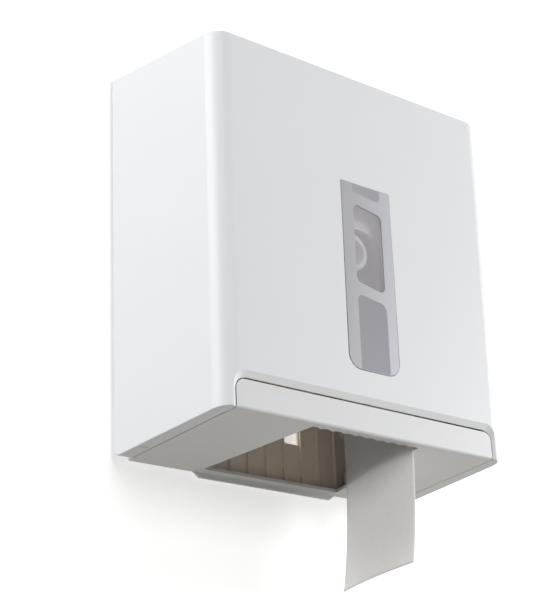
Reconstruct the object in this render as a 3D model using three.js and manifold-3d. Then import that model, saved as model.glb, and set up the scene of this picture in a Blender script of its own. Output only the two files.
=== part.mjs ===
// Wall dispenser for a roll of paper: a ribbed back plate, a bottom tray with a scalloped tear edge,
// a spindle for the roll, and one deep front cover with a sight window, hinged behind the tray's chin.
// Millimetres, +Z up, +X to the right, and +Y into the wall. The pieces are drawn with the wall at y = 0
// and the cover's lower rear edge at z = 0. The group's origin is then the middle of the rear face.
import * as THREE from "three";
import { mergeVertices } from "three/addons/utils/BufferGeometryUtils.js";
import Module from "manifold-3d";

const wasm = await Module();
wasm.setup();

// Shared fits
const SEAT_GAP = 0.3; // between pieces that touch
const FILM_GAP = 0.1; // between the printed film and its pane
const RUN_GAP = 0.4; // round a part that turns
const PANEL_GAP = 0.8; // the shadow line between cover and tray
const OVERRUN = 20; // how far a cut runs past the face it opens

// Front cover
const COVER_WIDTH = 288;
const COVER_FRONT_WIDTH = 279;
const COVER_HEIGHT = 305;
const COVER_DEPTH = 125;
const COVER_WALL = 2.8;
const COVER_WALL_GAP = 2; // shadow gap between the cover's rear edge and the wall
const TOP_FALL = 6; // how far the top drops towards the front
const BOTTOM_RISE = 11.5; // how far the underside climbs towards the front
const FRONT_CORNER_RADIUS = 14;
const TOP_EDGE_RADIUS = 3;
const REAR_CORNER_RADIUS = 6;
const FLANGE_SLOT = { length: 6, width: 1.2, back: 29 };

// Arch in the cover's front, round the tray's chin
const ARCH_BEVEL = 5.2;
const ARCH_BEVEL_CORNER = 12.5;

// Bottom tray
const FLANGE_WIDTH = 13.5; // from the cover's side to the tray, at the wall
const FLANGE_FRONT_WIDTH = 12; // the same at the front
const TRAY_WALL = 2.5;
const TRAY_WALL_GAP = 1;
const TRAY_CORNER_RADIUS = 4;
const CHIN_RECESS = 2.5; // behind the cover's front face
const CHIN_TOP = 32.4;
const CHIN_CORNER_RADIUS = 7.5;
const CHIN_EDGE_RADIUS = 2.5;
const HOOD_DEPTH = 8;
const CHEEK_DEPTH = 22;
const CHEEK_CORNER_RADIUS = 8;

// Outlet in the tray, with its tear edge
const OUTLET_WIDTH = 135.2;
const OUTLET_FRONT_WIDTH = 106;
const OUTLET_BACK = 9.5;
const OUTLET_FRONT_BACK = 10.6; // behind the cover's front face
const TEETH = 10; // the outlet's sides cut into the outer two
const TEETH_SHOWN_SHARE = 0.96; // of the whole row
const TOOTH_DEPTH = 2.2;
const BITE_STEPS = 6;
const LIP = { beyond: 4, drop: 4.1, depth: 2.2, slant: 6, corner: 1.5 };

// Tabs that hold the tray to the back plate
const TAB = { width: 30, height: 24, thick: 2.5, inset: 35.5, corner: 6, holeHeight: 14 };

// Hinge of the cover, behind the chin
const HINGE_BACK = 16; // behind the cover's front face
const HINGE_HEIGHT = 17;
const PIN_RADIUS = 2.5;
const PIN_HEAD_RADIUS = 4;
const PIN_HEAD = 2;
const PIN_FIT = 0.15;
const BOSS_RADIUS = 5.5;
const BOSS_FLOOR = 2;

// Back plate
const PLATE_INSET = 23; // inside the cover's side at the wall
const PLATE_TOP_DROP = 7; // below the cover's top at the wall
const PLATE_THICK = 2.5;
const PLATE_CORNER_RADIUS = 8;
const PLATE_RIM = 2.2;
const PLATE_RIM_DEPTH = 8;
const RIB_PITCH = 18.2;
const RIB_THICK = 1.2;
const RIB_HEIGHT = 2;
const RIB_END_GAP = 1.2;
const BAY_HOLE = { bay: 1.5, width: 15, bottom: 36.2, height: 24, innerCorner: 3, outerCorner: 0.8 };
const WALL_SLOT = { width: 5.5, length: 13, inset: 33, low: 62, topDrop: 46 };
const SLOT_PAD = { width: 17, length: 25, thick: 1 };
const SLOT_END_SHARE = 0.49; // radius of a slot's round end, of the slot's width
const TRAY_BOSS_RADIUS = 5;
const TRAY_BOSS_HEIGHT = 2.5;

// Spindle and its seat on the plate
const SPINDLE_HEIGHT = 157.6;
const SPINDLE_RADIUS = 15.1;
const SPINDLE_BORE = 10.4;
const SPINDLE_END_BACK = 12; // behind the cover's front face
const SPINDLE_TIP_ROUND = 1.2;
const PAD_RADIUS = 31;
const PAD_HEIGHT = 4;
const BASE_RADIUS = 27;
const BASE_THICK = 3.5;
const NECK_RADIUS = 16.5;
const SHOULDER_RADIUS = 34;
const SHOULDER_THICK = 3;
const SCREW_CIRCLE = 21;
const SPINDLE_SCREWS = 3;
const SCREW_BOSS_RADIUS = 4.6;
const SCREW_BOSS_DEPTH = 9;

// Screws
const SCREW = { radius: 1.9, headRadius: 3.8, head: 2.4, length: 12, slot: 0.9, slotDepth: 1 };
const TRAY_SCREW_LENGTH = 5.6;
const SCREW_FIT = 0.2;
const HEAD_FIT = 0.4;

// Roll, partly used
const PAPER_BACK = 24.5; // the roll's rear face, from the wall
const PAPER_FRONT_BACK = 13.5; // the roll's front face, behind the cover's front face
const ROLL_RADIUS = 56;
const CORE_RADIUS = 27.5;
const CORE_WALL = 1.6;
const ROLL_LEAN = 38; // degrees: the core hangs on the spindle's upper left, where friction holds it

// Free end of the paper
const STRIP_THICK = 0.5;
const STRIP_LEVEL = 8; // the height at which it reaches the outlet
const STRIP_GAP = 0.8; // inside the outlet's side
const STRIP_BOW = 4;
const STRIP_CURL = 8; // how far its free end curls to the left
const STRIP_REAR_END = -81.6;
const STRIP_FRONT_END = -75.2;
const STRIP_STEPS = 14;
const STRIP_COLUMNS = 8;

// Sight window
const PANE_WIDTH = 50.6;
const PANE_OFFSET = 3.9; // right of the middle
const PANE_BOTTOM = 58.9;
const PANE_TOP = 207.2;
const PANE_LOW_RADIUS = 11;
const PANE_TOP_RADIUS = 1;
const PANE_THICK = 1.2;
const FILM_THICK = 0.25;
const FILM_PROUD = 0.15;
const FRAME_MARGIN = 4;
const FRAME_THICK = 1.4;
const SIGHT = { left: 11.6, right: 10.2, top: 16, height: 63.2, radius: 5 }; // inside the pane's edges
const SIGHT_SLANT_SHARE = 0.19; // fall of its upper and lower edges, of its width
const SIGHT_MARGIN = 1;

// Lock in the cover's top
const LOCK_RECESS_MARGIN = 0.6; // round the barrel's flange
const LOCK_RECESS = 1.4;
const LOCK_PAD_MARGIN = 2; // round the recess
const LOCK_PAD = 2.4;
const BARREL_WALL = 1.3; // round the rotor's head
const BARREL_FLANGE_RADIUS = 11.4;
const BARREL_FLANGE = 1.6;
const BARREL_LENGTH = 13;
const BARREL_FIT = 0.3;
const NUT_FLATS = 21;
const NUT_THICK = 4;
const ROTOR_RADIUS = 5;
const ROTOR_HEAD_RADIUS = 6.6;
const ROTOR_HEAD = 2;
const ROTOR_SQUARE = 6;
const KEY_SIDE = 5.4;
const KEY_DEPTH = 5;
const CAM_THICK = 2.5;
const CAM_HUB_RADIUS = 6.5;
const CAM_ARM = 5.6;
const HOOK_INNER = 13.5;
const HOOK_OUTER = 18;
const HOOK_WALL_GAP = 1.5; // between the locked hook and the plate's ribs
const HOOK_ANGLE = 38; // degrees from the arm to the hook's tip
const CAM_SCREW = { radius: 1.5, headRadius: 4, head: 1.8, length: 8 };

// Keeper of the lock, on the back plate
const KEEPER_SHELF = { width: 30, drop: 5, thick: 2.5, lead: 2, gusset: 12 };
const KEEPER_POST = { out: 2, width: 3, hubGap: 2, hookGap: 1.5, armGap: 1, over: 0.3 };

// Facets
const FINE = 56;
const ROUND = 36;
const SMALL = 20;
const ARC_STEPS = 6;
const EDGE_STEPS = 4;

// Depth from the wall is -y. The cover tapers with it on all four sides.
const frontY = -COVER_DEPTH;
const depthShare = (y) => -y / COVER_DEPTH;
const halfWidthAt = (y) => (COVER_WIDTH - depthShare(y) * (COVER_WIDTH - COVER_FRONT_WIDTH)) / 2;
const bottomAt = (y) => depthShare(y) * BOTTOM_RISE;
const topAt = (y) => COVER_HEIGHT - depthShare(y) * TOP_FALL;

// Places that several pieces share
const chinY = frontY + CHIN_RECESS;
const hingeY = frontY + HINGE_BACK;
const trayWidth = COVER_WIDTH - 2 * FLANGE_WIDTH;
const trayFrontWidth = COVER_FRONT_WIDTH - 2 * FLANGE_FRONT_WIDTH;
const tabOut = trayWidth / 2 - TAB.inset;
const outletFront = COVER_DEPTH - OUTLET_FRONT_BACK;
const lockY = -PLATE_THICK - RIB_HEIGHT - HOOK_WALL_GAP - HOOK_OUTER;
const lockRecessRadius = BARREL_FLANGE_RADIUS + LOCK_RECESS_MARGIN;
const barrelRadius = ROTOR_HEAD_RADIUS + BARREL_WALL;
const lockFloor = topAt(lockY) - LOCK_RECESS;
const lockPadUnder = topAt(lockY) - COVER_WALL - LOCK_PAD;
const barrelEnd = lockFloor - BARREL_LENGTH;
const camTop = barrelEnd - SEAT_GAP;
const camUnder = camTop - CAM_THICK;
const plateWidth = COVER_WIDTH - 2 * PLATE_INSET;
const plateTop = COVER_HEIGHT - PLATE_TOP_DROP;
const plateBottom = bottomAt(-PLATE_THICK - PLATE_RIM_DEPTH) + TRAY_WALL + SEAT_GAP;
const padY = -PLATE_THICK - PAD_HEIGHT;
const spindleEndY = frontY + SPINDLE_END_BACK;
const shoulderY = -PAPER_BACK + SEAT_GAP;
const paperFrontY = frontY + PAPER_FRONT_BACK;
const rollLean = THREE.MathUtils.degToRad(ROLL_LEAN);
const rollSlack = CORE_RADIUS - SPINDLE_RADIUS - SEAT_GAP;
const rollX = rollSlack * Math.sin(rollLean);
const rollHeight = SPINDLE_HEIGHT - rollSlack * Math.cos(rollLean);
const paneLeft = PANE_OFFSET - PANE_WIDTH / 2;
const paneRight = PANE_OFFSET + PANE_WIDTH / 2;
const filmY = frontY - FILM_PROUD;
const paneY = filmY + FILM_THICK + FILM_GAP;
const paneSeatY = paneY + PANE_THICK + SEAT_GAP;

// Materials
const WHITE = 0xeceeed;
const SHELL_WHITE = 0xe9eaec;
const SMOKED = 0x9a8f92;
const SILVER = 0xc8c8ce;
const STEEL = 0xb4b6b8;
const DARK = 0x3a3c40;
const CARDBOARD = 0xa89880;
const PAPER = 0xf0eeea;
function finish(color, roughness = 0.35) {
  return new THREE.MeshStandardMaterial({ color, roughness, metalness: 0 });
}

// A closed geometry as a solid for joining and cutting. A mirrored or reversed one is turned right side out.
function solid(geometry) {
  const bare = geometry.clone();
  bare.deleteAttribute("normal");
  bare.deleteAttribute("uv");
  const merged = mergeVertices(bare, 1e-4);
  const vertProperties = merged.attributes.position.array;
  const make = (triVerts) => new wasm.Manifold(new wasm.Mesh({ numProp: 3, vertProperties, triVerts }));
  const triangles = new Uint32Array(merged.index.array);
  const made = make(triangles);
  return made.volume() < 0 ? make(triangles.reverse()) : made;
}

function join(...solids) {
  return solids.reduce((whole, next) => whole.add(next));
}

function cut(whole, ...cutters) {
  return cutters.reduce((left, next) => left.subtract(next), whole);
}

// A named piece from a solid.
function piece(name, made, material) {
  const mesh = made.getMesh();
  const geometry = new THREE.BufferGeometry();
  geometry.setAttribute("position", new THREE.BufferAttribute(new Float32Array(mesh.vertProperties), 3));
  geometry.setIndex(new THREE.BufferAttribute(new Uint32Array(mesh.triVerts), 1));
  geometry.computeVertexNormals();
  const named = new THREE.Mesh(geometry, material);
  named.name = name;
  return named;
}

// Each point of a geometry moved by a rule.
function moved(geometry, rule) {
  const place = geometry.attributes.position;
  const point = new THREE.Vector3();
  for (let i = 0; i < place.count; i++) {
    rule(point.fromBufferAttribute(place, i));
    place.setXYZ(i, point.x, point.y, point.z);
  }
  return geometry;
}

// For each axis, the frame in which an outline is drawn before it is extruded along that axis.
const AXES = {
  x: new THREE.Matrix4().makeBasis(
    new THREE.Vector3(0, 1, 0),
    new THREE.Vector3(0, 0, 1),
    new THREE.Vector3(1, 0, 0),
  ),
  y: new THREE.Matrix4().makeBasis(
    new THREE.Vector3(1, 0, 0),
    new THREE.Vector3(0, 0, 1),
    new THREE.Vector3(0, 1, 0),
  ),
  z: new THREE.Matrix4(),
};

// An outline extruded along an axis, from one place to another.
// Along x it is drawn in y and z, along y in x and z, and along z in x and y.
function prismGeometry(outline, axis, from, to, curveSegments = ARC_STEPS) {
  const options = { depth: to - from, bevelEnabled: false, curveSegments };
  const geometry = new THREE.ExtrudeGeometry(outline, options);
  geometry.translate(0, 0, from);
  return geometry.applyMatrix4(AXES[axis]);
}

function prism(outline, axis, from, to, curveSegments) {
  return solid(prismGeometry(outline, axis, from, to, curveSegments));
}

function box(low, high) {
  return prism(rectangle(low[0], low[1], high[0], high[1]), "z", low[2], high[2]);
}

// A profile of [radius, place along the axis] turned round an axis through a point.
function turned(profile, axis, centre, segments) {
  const points = profile.map(([radius, along]) => new THREE.Vector2(radius, along));
  const geometry = new THREE.LatheGeometry(points, segments);
  if (axis === "z") geometry.rotateX(Math.PI / 2);
  if (axis === "x") geometry.rotateZ(-Math.PI / 2);
  return solid(geometry.translate(...centre));
}

// A round bar or hole along an axis.
function rod(radius, axis, from, to, centre, segments = SMALL) {
  const profile = [
    [0, from],
    [radius, from],
    [radius, to],
    [0, to],
  ];
  return turned(profile, axis, centre, segments);
}

// The skin through rings of equal counts of points, capped at both ends.
function loftGeometry(rings) {
  const count = rings[0].length;
  const positions = rings.flat().flatMap((point) => [point.x, point.y, point.z]);
  const index = [];
  for (let ring = 0; ring + 1 < rings.length; ring++) {
    for (let i = 0; i < count; i++) {
      const a = ring * count + i;
      const b = ring * count + ((i + 1) % count);
      index.push(a, b, b + count, a, b + count, a + count);
    }
  }
  const flat = rings[0].map((point) => new THREE.Vector2(point.x, point.y));
  const last = (rings.length - 1) * count;
  for (const [a, b, c] of THREE.ShapeUtils.triangulateShape(flat, [])) {
    index.push(c, b, a, last + a, last + b, last + c);
  }
  const geometry = new THREE.BufferGeometry();
  geometry.setAttribute("position", new THREE.Float32BufferAttribute(positions, 3));
  return geometry.setIndex(index);
}

function loft(rings) {
  return solid(loftGeometry(rings));
}

// Outlines
function rectangle(left, low, right, high) {
  const outline = new THREE.Shape();
  outline.moveTo(left, low);
  outline.lineTo(right, low);
  outline.lineTo(right, high);
  outline.lineTo(left, high);
  outline.closePath();
  return outline;
}

// A polygon whose corners are rounded, each by its own radius. Points are [x, y, radius].
function rounded(corners) {
  const outline = new THREE.Shape();
  corners.forEach(([x, y, radius], i) => {
    const corner = new THREE.Vector2(x, y);
    const towards = ([a, b]) => new THREE.Vector2(a, b).sub(corner).normalize();
    const before = towards(corners.at(i - 1));
    const after = towards(corners[(i + 1) % corners.length]);
    const half = Math.acos(THREE.MathUtils.clamp(before.dot(after), -1, 1)) / 2;
    const inward = before.clone().add(after).normalize();
    const start = corner.clone().addScaledVector(before, radius / Math.tan(half));
    const centre = corner.clone().addScaledVector(inward, radius / Math.sin(half));
    const end = corner.clone().addScaledVector(after, radius / Math.tan(half));
    if (i) outline.lineTo(start.x, start.y);
    else outline.moveTo(start.x, start.y);
    if (!radius) return;
    const from = Math.atan2(start.y - centre.y, start.x - centre.x);
    const to = Math.atan2(end.y - centre.y, end.x - centre.x);
    const clockwise = before.cross(after) > 0;
    outline.absarc(centre.x, centre.y, radius, from, to, clockwise);
  });
  outline.closePath();
  return outline;
}

function roundedRectangle(left, low, right, high, lowRadius, highRadius = lowRadius) {
  return rounded([
    [left, low, lowRadius],
    [right, low, lowRadius],
    [right, high, highRadius],
    [left, high, highRadius],
  ]);
}

// An outline's points, without the last one that only closes it.
function openPoints(outline) {
  return outline.getPoints(ARC_STEPS).slice(0, -1);
}

// One level of the cover's plan, with round front corners and a straight rear edge.
function coverLevel(inset, rearY, heightAt) {
  const side = COVER_WIDTH / 2 - inset;
  const front = frontY + inset;
  const radius = Math.max(FRONT_CORNER_RADIUS - inset, SEAT_GAP);
  const plan = [new THREE.Vector2(-side, rearY)];
  for (let i = 0; i <= ARC_STEPS; i++) {
    const turn = (Math.PI / 2) * (i / ARC_STEPS);
    const inward = radius * (1 - Math.cos(turn));
    plan.push(new THREE.Vector2(-side + inward, front + radius * (1 - Math.sin(turn))));
  }
  const mirrored = plan.map((point) => new THREE.Vector2(-point.x, point.y)).reverse();
  const taper = (y) => halfWidthAt(y) / (COVER_WIDTH / 2);
  return [...plan, ...mirrored].map((p) => new THREE.Vector3(p.x * taper(p.y), p.y, heightAt(p.y)));
}

// The cover's form at a wall's inset: straight up, then round the soft top edge.
function coverForm(inset, rearY) {
  const soft = Math.max(TOP_EDGE_RADIUS - inset, SEAT_GAP);
  const rings = [coverLevel(inset, rearY, (y) => bottomAt(y) + inset)];
  for (let i = 0; i <= EDGE_STEPS; i++) {
    const turn = (Math.PI / 2) * (i / EDGE_STEPS);
    const drop = soft * (1 - Math.sin(turn));
    rings.push(coverLevel(inset + soft * (1 - Math.cos(turn)), rearY, (y) => topAt(y) - inset - drop));
  }
  return loft(rings);
}

// The tray's plan, grown by a margin.
function trayPlan(margin, rearY, front = chinY) {
  const halfAt = (y) => (trayWidth - ((trayWidth - trayFrontWidth) * y) / chinY) / 2 + margin;
  const radius = TRAY_CORNER_RADIUS + margin;
  return rounded([
    [-halfAt(rearY), rearY, 0],
    [-halfAt(front - margin), front - margin, radius],
    [halfAt(front - margin), front - margin, radius],
    [halfAt(rearY), rearY, 0],
  ]);
}

// The chin's outline in x and z, grown by a margin, with its lower edge at a height.
function chinOutline(margin, low, cornerRadius = CHIN_CORNER_RADIUS + margin) {
  const half = trayFrontWidth / 2 + margin;
  return roundedRectangle(-half, low, half, CHIN_TOP + margin, 0, cornerRadius);
}

// The bevelled opening round the chin: narrow at the inside of the wall and wide at the front face.
function archCut() {
  const ring = (margin, radius, depth) =>
    openPoints(chinOutline(margin, -OVERRUN, radius)).map((p) => new THREE.Vector3(p.x, p.y, depth));
  const inner = chinOutline(PANEL_GAP, -OVERRUN);
  const straight = prism(inner, "y", frontY - OVERRUN, chinY + COVER_WALL + OVERRUN / 2);
  const widest = PANEL_GAP + ARCH_BEVEL * (1 + OVERRUN / COVER_WALL);
  const widestRadius = ARCH_BEVEL_CORNER + (ARCH_BEVEL * OVERRUN) / COVER_WALL;
  const lying = loftGeometry([
    ring(PANEL_GAP, CHIN_CORNER_RADIUS + PANEL_GAP, frontY + COVER_WALL),
    ring(widest, widestRadius, frontY - OVERRUN),
  ]);
  const bevel = solid(moved(lying, (p) => p.set(p.x, p.z, p.y)));
  return join(straight, bevel);
}

function paneOutline(margin) {
  return roundedRectangle(
    paneLeft - margin,
    PANE_BOTTOM - margin,
    paneRight + margin,
    PANE_TOP + margin,
    PANE_LOW_RADIUS + margin,
    PANE_TOP_RADIUS + Math.max(margin, 0),
  );
}

// The sight window's slanted outline, grown by a margin.
function sightOutline(margin) {
  const { height, radius } = SIGHT;
  const left = paneLeft + SIGHT.left;
  const right = paneRight - SIGHT.right;
  const top = PANE_TOP - SIGHT.top;
  const bottom = top - height;
  const slope = (x) => -SIGHT_SLANT_SHARE * (x - left);
  return rounded([
    [left - margin, bottom + slope(left - margin) - margin, radius],
    [right + margin, bottom + slope(right + margin) - margin, radius],
    [right + margin, top + slope(right + margin) + margin, radius],
    [left - margin, top + slope(left - margin) + margin, radius],
  ]);
}

function bothSides(make) {
  return join(make(-1), make(1));
}

// A boss in the cover's side wall that turns on a hinge pin.
function hingeBoss(side) {
  const start = trayFrontWidth / 2 + PANEL_GAP;
  const wall = halfWidthAt(hingeY) - COVER_WALL / 2;
  return rod(BOSS_RADIUS, "x", side * start, side * wall, [0, hingeY, HINGE_HEIGHT]);
}

function hingeBore(side) {
  const end = halfWidthAt(hingeY) - BOSS_FLOOR;
  return rod(PIN_RADIUS + RUN_GAP, "x", 0, side * end, [0, hingeY, HINGE_HEIGHT]);
}

// What is cut off the lower rear corners of the cover's sides to round them.
function rearCornerWaste() {
  const radius = REAR_CORNER_RADIUS;
  const rear = -COVER_WALL_GAP;
  const square = prism(rectangle(rear - radius, -OVERRUN, OVERRUN, radius), "x", -COVER_WIDTH, COVER_WIDTH);
  const centre = [0, rear - radius, radius + bottomAt(rear - radius)];
  return cut(square, rod(radius, "x", -COVER_WIDTH, COVER_WIDTH, centre));
}

// The small slot in the left flange's underside.
function flangeSlot() {
  const { length, width, back } = FLANGE_SLOT;
  const edge = -halfWidthAt(-back) + COVER_WALL;
  return box([edge, -back - width / 2, -OVERRUN], [edge + length, -back + width / 2, OVERRUN / 2]);
}

function frontCover() {
  const shell = cut(coverForm(0, -COVER_WALL_GAP), coverForm(COVER_WALL, OVERRUN));
  const frame = prism(paneOutline(FRAME_MARGIN), "y", frontY + COVER_WALL / 2, paneSeatY + FRAME_THICK);
  const lock = [0, lockY, 0];
  const padRadius = lockRecessRadius + LOCK_PAD_MARGIN;
  const lockPad = rod(padRadius, "z", lockPadUnder, topAt(lockY) - COVER_WALL / 2, lock, ROUND);
  const barrelHole = barrelRadius + BARREL_FIT;
  return cut(
    join(shell, frame, lockPad, bothSides(hingeBoss)),
    rearCornerWaste(),
    prism(trayPlan(PANEL_GAP, OVERRUN), "z", -OVERRUN, OVERRUN),
    archCut(),
    prism(paneOutline(SEAT_GAP), "y", frontY - OVERRUN, paneSeatY),
    prism(sightOutline(SIGHT_MARGIN), "y", frontY - OVERRUN, frontY + OVERRUN),
    bothSides(hingeBore),
    rod(lockRecessRadius, "z", lockFloor, lockFloor + OVERRUN, lock, ROUND),
    rod(barrelHole, "z", lockPadUnder - OVERRUN, lockFloor + OVERRUN, lock, ROUND),
    flangeSlot(),
  );
}

function windowPane() {
  return prism(paneOutline(0), "y", paneY, paneY + PANE_THICK, ARC_STEPS);
}

function windowLabel() {
  const film = prism(paneOutline(0), "y", filmY, filmY + FILM_THICK, ARC_STEPS);
  return cut(film, prism(sightOutline(0), "y", filmY - OVERRUN, filmY + OVERRUN));
}

// The outlet's half width at a depth.
function outletHalfAt(y) {
  const share = (-y - OUTLET_BACK) / (outletFront - OUTLET_BACK);
  return (OUTLET_WIDTH + (OUTLET_FRONT_WIDTH - OUTLET_WIDTH) * share) / 2;
}

// The outlet's plan. Its front is the tear edge: shallow round bites between teeth, side by side.
function outletPlan() {
  const half = outletHalfAt(-outletFront);
  const run = (2 * half) / TEETH_SHOWN_SHARE;
  const pitch = run / TEETH;
  const edgeAt = (x) => {
    const share = ((x + run / 2) / pitch) % 1;
    return [x, -outletFront - 4 * TOOTH_DEPTH * share * (1 - share), 0];
  };
  const steps = Array.from({ length: TEETH * BITE_STEPS }, (_, i) => (pitch * i) / BITE_STEPS - run / 2);
  const inside = steps.filter((x) => Math.abs(x) < half);
  return rounded([
    [-OUTLET_WIDTH / 2, -OUTLET_BACK, 0],
    ...[-half, ...inside, half].map(edgeAt),
    [OUTLET_WIDTH / 2, -OUTLET_BACK, 0],
  ]);
}

// Anything of the tray's floor follows the cover's rising underside.
function sloped(geometry) {
  return solid(moved(geometry, (p) => p.setZ(p.z + bottomAt(p.y))));
}

// The chin with its short roof and sides, open at the back.
function chinHood() {
  const low = bottomAt(chinY);
  const shell = prism(chinOutline(0, low), "y", chinY, chinY + HOOD_DEPTH);
  const inside = chinOutline(-TRAY_WALL, low - OVERRUN);
  return cut(shell, prism(inside, "y", chinY + TRAY_WALL, chinY + HOOD_DEPTH + OVERRUN));
}

// The cheek that holds one hinge pin.
function cheek(side) {
  const outer = trayFrontWidth / 2;
  const low = bottomAt(chinY) + TRAY_WALL / 2;
  const high = CHIN_TOP - TRAY_WALL;
  const outline = rounded([
    [chinY + TRAY_WALL / 2, low, 0],
    [chinY + CHEEK_DEPTH, low - TRAY_WALL / 2, 0],
    [chinY + CHEEK_DEPTH, high, CHEEK_CORNER_RADIUS],
    [chinY + TRAY_WALL / 2, high, 0],
  ]);
  const ends = [side * outer, side * (outer - TRAY_WALL)].sort((a, b) => a - b);
  return prism(outline, "x", ...ends);
}

// A tab that stands up at the tray's rear, screwed to the back plate.
function trayTab(side) {
  const { width, height, thick, corner } = TAB;
  const face = -PLATE_THICK - TRAY_BOSS_HEIGHT - SEAT_GAP;
  const centre = side * tabOut;
  const outline = roundedRectangle(centre - width / 2, TRAY_WALL / 2, centre + width / 2, height, 0, corner);
  return prism(outline, "y", face - thick, face);
}

// The lip that hangs from the tray's rear edge, with slanted ends.
function trayLip() {
  const { beyond, drop, depth, slant, corner } = LIP;
  const half = OUTLET_WIDTH / 2 + beyond;
  const outline = rounded([
    [-half, TRAY_WALL / 2, 0],
    [-half, 0, 0],
    [-half + slant, -drop, corner],
    [half - slant, -drop, corner],
    [half, 0, 0],
    [half, TRAY_WALL / 2, 0],
  ]);
  return sloped(prismGeometry(outline, "y", -TRAY_WALL_GAP - depth, -TRAY_WALL_GAP));
}

// What is cut off the chin's lower front edge to round it.
function chinEdgeWaste() {
  const radius = CHIN_EDGE_RADIUS;
  const slope = BOTTOM_RISE / COVER_DEPTH;
  const lean = Math.hypot(1, slope);
  const middle = chinY + radius;
  const height = bottomAt(middle) + radius * lean;
  const back = middle - (radius * slope) / lean;
  const corner = rectangle(chinY - radius, height - 2 * radius, back, height);
  const kept = rod(radius, "x", -COVER_WIDTH, COVER_WIDTH, [0, middle, height], ROUND);
  return cut(prism(corner, "x", -COVER_WIDTH, COVER_WIDTH), kept);
}

function bottomTray() {
  const floor = sloped(prismGeometry(trayPlan(0, -TRAY_WALL_GAP), "z", 0, TRAY_WALL));
  const screwHole = (side) =>
    rod(SCREW.radius + SCREW_FIT, "y", -OVERRUN, 0, [side * tabOut, 0, TAB.holeHeight]);
  return cut(
    join(floor, trayLip(), chinHood(), bothSides(cheek), bothSides(trayTab)),
    prism(outletPlan(), "z", -OVERRUN, OVERRUN),
    chinEdgeWaste(),
    rod(PIN_RADIUS + PIN_FIT, "x", -COVER_WIDTH, COVER_WIDTH, [0, hingeY, HINGE_HEIGHT]),
    bothSides(screwHole),
  );
}

function hingePin(side) {
  const head = trayFrontWidth / 2 - TRAY_WALL - SEAT_GAP;
  const end = halfWidthAt(hingeY) - BOSS_FLOOR - SEAT_GAP;
  const profile = [
    [0, side * (head - PIN_HEAD)],
    [PIN_HEAD_RADIUS, side * (head - PIN_HEAD)],
    [PIN_HEAD_RADIUS, side * head],
    [PIN_RADIUS, side * head],
    [PIN_RADIUS, side * end],
    [0, side * end],
  ];
  return turned(profile, "x", [0, hingeY, HINGE_HEIGHT], SMALL);
}

// A pan-head screw along y, its head at one end and its tip further into the wall, or the other way round.
function screwAlongY(headY, tipSide, length, centre) {
  const { radius, headRadius, head, slot, slotDepth } = SCREW;
  const body = turned(
    [
      [0, headY],
      [headRadius, headY],
      [headRadius, headY + tipSide * head],
      [radius, headY + tipSide * head],
      [radius, headY + tipSide * (head + length - radius)],
      [0, headY + tipSide * (head + length)],
    ],
    "y",
    centre,
    SMALL,
  );
  const [x, , z] = centre;
  const ends = [headY - tipSide * slotDepth, headY + tipSide * slotDepth].sort((a, b) => a - b);
  const across = box([x - headRadius, ends[0], z - slot / 2], [x + headRadius, ends[1], z + slot / 2]);
  return cut(body, across);
}

function traySeatY() {
  return -PLATE_THICK - TRAY_BOSS_HEIGHT - SEAT_GAP - TAB.thick;
}

function trayScrew(side) {
  const headY = traySeatY() - SEAT_GAP - SCREW.head;
  return screwAlongY(headY, 1, TRAY_SCREW_LENGTH, [side * tabOut, 0, TAB.holeHeight]);
}

// Places of the spindle screws round the spindle's axis.
function screwPlaces() {
  return Array.from({ length: SPINDLE_SCREWS }, (_, i) => {
    const turn = Math.PI / 2 + (2 * Math.PI * i) / SPINDLE_SCREWS;
    return [SCREW_CIRCLE * Math.cos(turn), 0, SPINDLE_HEIGHT + SCREW_CIRCLE * Math.sin(turn)];
  });
}

function spindleScrew(place) {
  return screwAlongY(-SEAT_GAP, -1, SCREW.length, place);
}

function plateRibs() {
  const ribs = [];
  const count = Math.floor((plateWidth / 2 - PLATE_RIM - RIB_PITCH / 4) / RIB_PITCH);
  const low = plateBottom + RIB_END_GAP;
  for (let i = -count; i <= count; i++) {
    const x = i * RIB_PITCH;
    ribs.push(
      box(
        [x - RIB_THICK / 2, -PLATE_THICK - RIB_HEIGHT, low],
        [x + RIB_THICK / 2, -PLATE_THICK / 2, plateTop - PLATE_RIM / 2],
      ),
    );
  }
  return join(...ribs);
}

function plateRim() {
  const half = plateWidth / 2;
  const front = -PLATE_THICK - PLATE_RIM_DEPTH;
  const outer = roundedRectangle(-half, plateBottom, half, plateTop, 0, PLATE_CORNER_RADIUS);
  const inner = roundedRectangle(
    -half + PLATE_RIM,
    plateBottom - OVERRUN,
    half - PLATE_RIM,
    plateTop - PLATE_RIM,
    0,
    PLATE_CORNER_RADIUS - PLATE_RIM,
  );
  return cut(prism(outer, "y", front, 0), prism(inner, "y", front - OVERRUN, -PLATE_THICK));
}

function wallSlotPlaces() {
  const out = plateWidth / 2 - WALL_SLOT.inset;
  const heights = [WALL_SLOT.low, plateTop - WALL_SLOT.topDrop];
  return [-out, out].flatMap((x) => heights.map((z) => [x, z]));
}

function slotOutline([x, z], width, length, radius) {
  return roundedRectangle(x - width / 2, z - length / 2, x + width / 2, z + length / 2, radius);
}

function slotPad(place) {
  const { width, length, thick } = SLOT_PAD;
  const outline = slotOutline(place, width, length, WALL_SLOT.width / 2);
  return prism(outline, "y", -PLATE_THICK - RIB_HEIGHT - thick, -PLATE_THICK / 2);
}

function slotHole(place) {
  const { width, length } = WALL_SLOT;
  return prism(slotOutline(place, width, length, width * SLOT_END_SHARE), "y", -OVERRUN, OVERRUN);
}

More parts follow.
